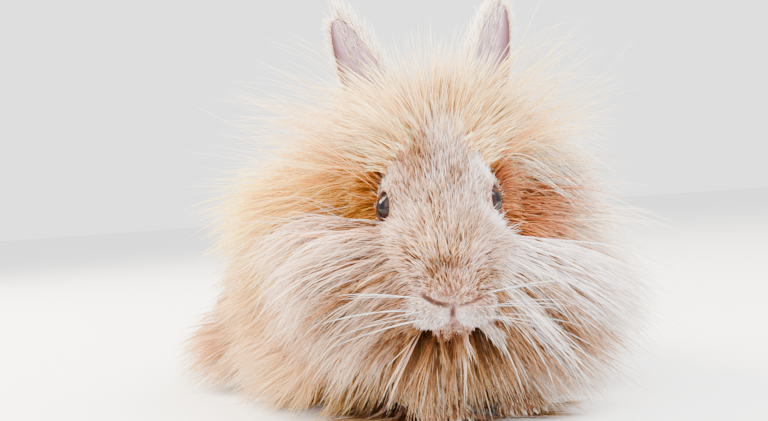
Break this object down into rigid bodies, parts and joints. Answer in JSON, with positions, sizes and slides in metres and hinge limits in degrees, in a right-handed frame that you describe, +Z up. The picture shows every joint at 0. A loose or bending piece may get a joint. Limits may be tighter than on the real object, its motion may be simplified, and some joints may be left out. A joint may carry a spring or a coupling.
{
  "type": "lionhead rabbit model",
  "caption": "Life-size still model of a crouching lionhead rabbit with a full mane of long locks, upright ears and feet flat on the floor.",
  "frame": {"origin": "on the floor, below the middle of the animal's bounding box", "axes": "+Z up; +Y along the body from the head to the tail, so that the nose points to -Y; +X to the rabbit's left"},
  "size_m": [0.2106, 0.3002, 0.1795],
  "materials": {
    "mane": "long soft fur, matte",
    "coat": "soft fur, matte",
    "tail_fur": "soft fur, matte",
    "ear_skin": "thin skin with short fur",
    "eye": "wet gloss"
  },
  "bodies": {
    "root": {"head": "mane", "neck": "mane", "torso": "coat", "tail": "tail_fur", "foreleg_left": "coat", "foreleg_right": "coat", "hindleg_left": "coat", "hindleg_right": "coat", "ear_left": "ear_skin", "ear_right": "ear_skin", "eye_left": "eye", "eye_right": "eye"}
  },
  "joints": []
}
